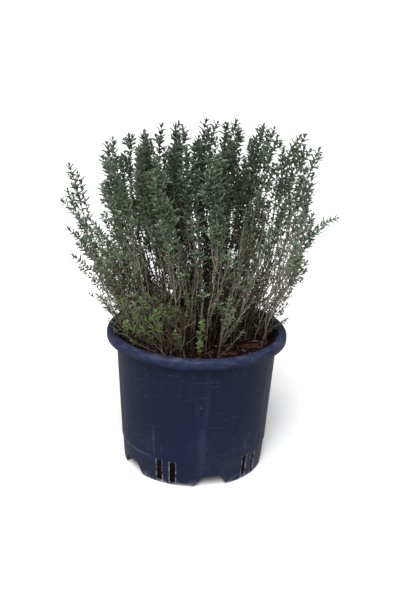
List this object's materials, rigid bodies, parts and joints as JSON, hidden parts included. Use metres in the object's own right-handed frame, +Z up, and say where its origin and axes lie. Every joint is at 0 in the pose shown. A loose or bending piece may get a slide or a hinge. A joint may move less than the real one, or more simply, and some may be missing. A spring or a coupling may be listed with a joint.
{
  "type": "potted thyme",
  "caption": "Bushy upright thyme plant growing from dark soil in a round plastic nursery pot with a rolled rim and notched drainage feet.",
  "frame": {"origin": "centre of the pot's underside, on the plane that the pot stands on", "axes": "+Z up along the pot's axis, -Y towards the pictured front, +X to the right of the picture"},
  "size_m": [0.2756, 0.2097, 0.3649],
  "materials": {
    "pot_plastic": "matt dark blue-grey, scuffed and dusty",
    "potting_mix": "moist dark brown peat and bark fines",
    "bark": "rough red-brown",
    "thyme_green": "matt grey-green leaves on grey-brown stems",
    "fresh_green": "matt yellow-green young leaves",
    "dead_wood": "dry grey-brown bark"
  },
  "bodies": {
    "root": {"pot": "pot_plastic", "soil": "potting_mix", "bark_chip_01": "bark", "bark_chip_02": "bark", "bark_chip_03": "bark", "bark_chip_04": "bark", "thyme_stem_01": "thyme_green", "thyme_stem_02": "thyme_green", "thyme_stem_03": "thyme_green", "thyme_stem_04": "thyme_green", "thyme_stem_05": "thyme_green", "thyme_stem_06": "thyme_green", "thyme_stem_07": "thyme_green", "thyme_stem_08": "thyme_green", "thyme_stem_09": "thyme_green", "thyme_stem_10": "thyme_green", "thyme_stem_11": "thyme_green", "thyme_stem_12": "thyme_green", "thyme_stem_13": "thyme_green", "thyme_stem_14": "thyme_green", "thyme_stem_15": "thyme_green", "thyme_stem_16": "thyme_green", "thyme_stem_17": "thyme_green", "thyme_stem_18": "thyme_green", "thyme_stem_19": "thyme_green", "thyme_stem_20": "thyme_green", "thyme_stem_21": "thyme_green", "thyme_stem_22": "thyme_green", "thyme_stem_23": "thyme_green", "thyme_stem_24": "thyme_green", "thyme_stem_25": "thyme_green", "thyme_stem_26": "thyme_green", "thyme_stem_27": "thyme_green", "thyme_stem_28": "thyme_green", "thyme_stem_29": "thyme_green", "thyme_stem_30": "thyme_green", "thyme_stem_31": "thyme_green", "edge_shoot_01": "thyme_green", "edge_shoot_02": "thyme_green", "edge_shoot_03": "thyme_green", "edge_shoot_04": "thyme_green", "edge_shoot_05": "thyme_green", "edge_shoot_06": "thyme_green", "edge_shoot_07": "thyme_green", "edge_shoot_08": "thyme_green", "edge_shoot_09": "thyme_green", "edge_shoot_10": "thyme_green", "edge_shoot_11": "thyme_green", "edge_shoot_12": "thyme_green", "edge_shoot_13": "thyme_green", "edge_shoot_14": "thyme_green", "edge_shoot_15": "fresh_green", "edge_shoot_16": "fresh_green", "edge_shoot_17": "fresh_green", "edge_shoot_18": "fresh_green", "edge_shoot_19": "fresh_green", "edge_shoot_20": "fresh_green", "broken_twig": "dead_wood"}
  },
  "joints": []
}
